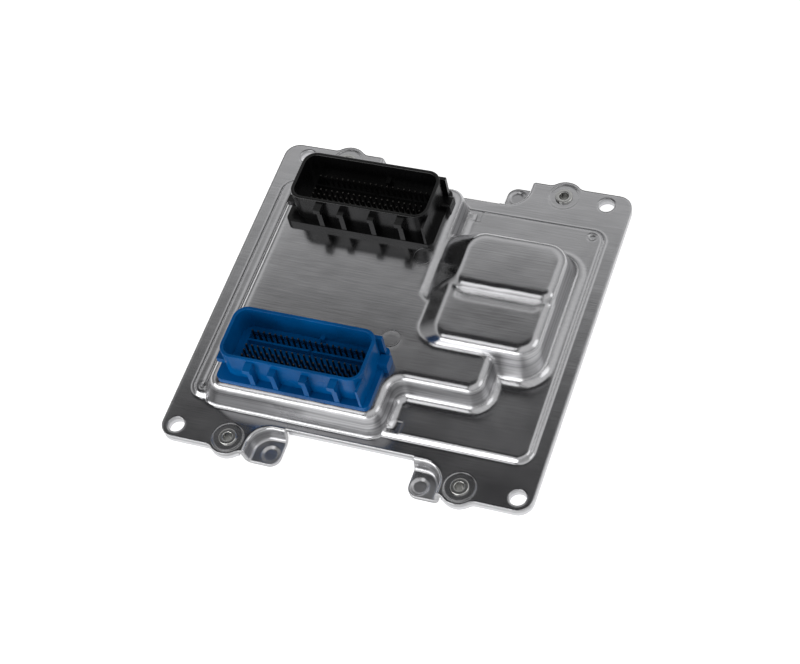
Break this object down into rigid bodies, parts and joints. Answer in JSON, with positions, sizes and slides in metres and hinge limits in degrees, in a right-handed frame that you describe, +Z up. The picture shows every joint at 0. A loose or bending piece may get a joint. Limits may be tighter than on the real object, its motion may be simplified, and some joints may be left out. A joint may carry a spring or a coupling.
{
  "type": "engine control unit",
  "caption": "Flat riveted aluminium electronics case with two upright plug headers on a raised plateau, a stepped dome, lowered ears and corner holes.",
  "frame": {"origin": "on the plane that the case stands on, under the middle of its outline", "axes": "+Z up out of the cover, +X away from the two headers, -Y towards the blue header"},
  "size_m": [0.16, 0.1626, 0.0384],
  "materials": {
    "aluminium_cover": "brushed, semi-gloss",
    "aluminium_base": "brushed",
    "black_rubber": "matt",
    "steel": "bright",
    "blue_plastic": "satin",
    "black_plastic": "satin",
    "tinned_brass": "bright",
    "board_laminate": "satin",
    "pad_rubber": "matt",
    "chip_plastic": "matt",
    "ferrite": "matt",
    "aluminium_can": "satin",
    "ceramic": "matt"
  },
  "bodies": {
    "root": {"cover": "aluminium_cover", "base_plate": "aluminium_base", "flange_seal": "black_rubber", "rivets": "steel", "front_header": "blue_plastic", "back_header": "black_plastic", "front_header_pins": "tinned_brass", "back_header_pins": "tinned_brass", "front_header_seal": "black_rubber", "back_header_seal": "black_rubber", "circuit_board": "board_laminate", "board_screws": "steel", "heat_pads": "pad_rubber", "microcontroller": "chip_plastic", "memory_chips": "chip_plastic", "driver_chips": "chip_plastic", "network_transceivers": "chip_plastic", "voltage_regulator": "chip_plastic", "clock_crystal": "steel", "boost_coil": "ferrite", "regulator_coil": "ferrite", "protection_diode": "chip_plastic", "shunt_resistors": "chip_plastic", "ignition_transistors": "chip_plastic", "bulk_capacitors": "aluminium_can", "filter_capacitors": "ceramic"}
  },
  "joints": []
}
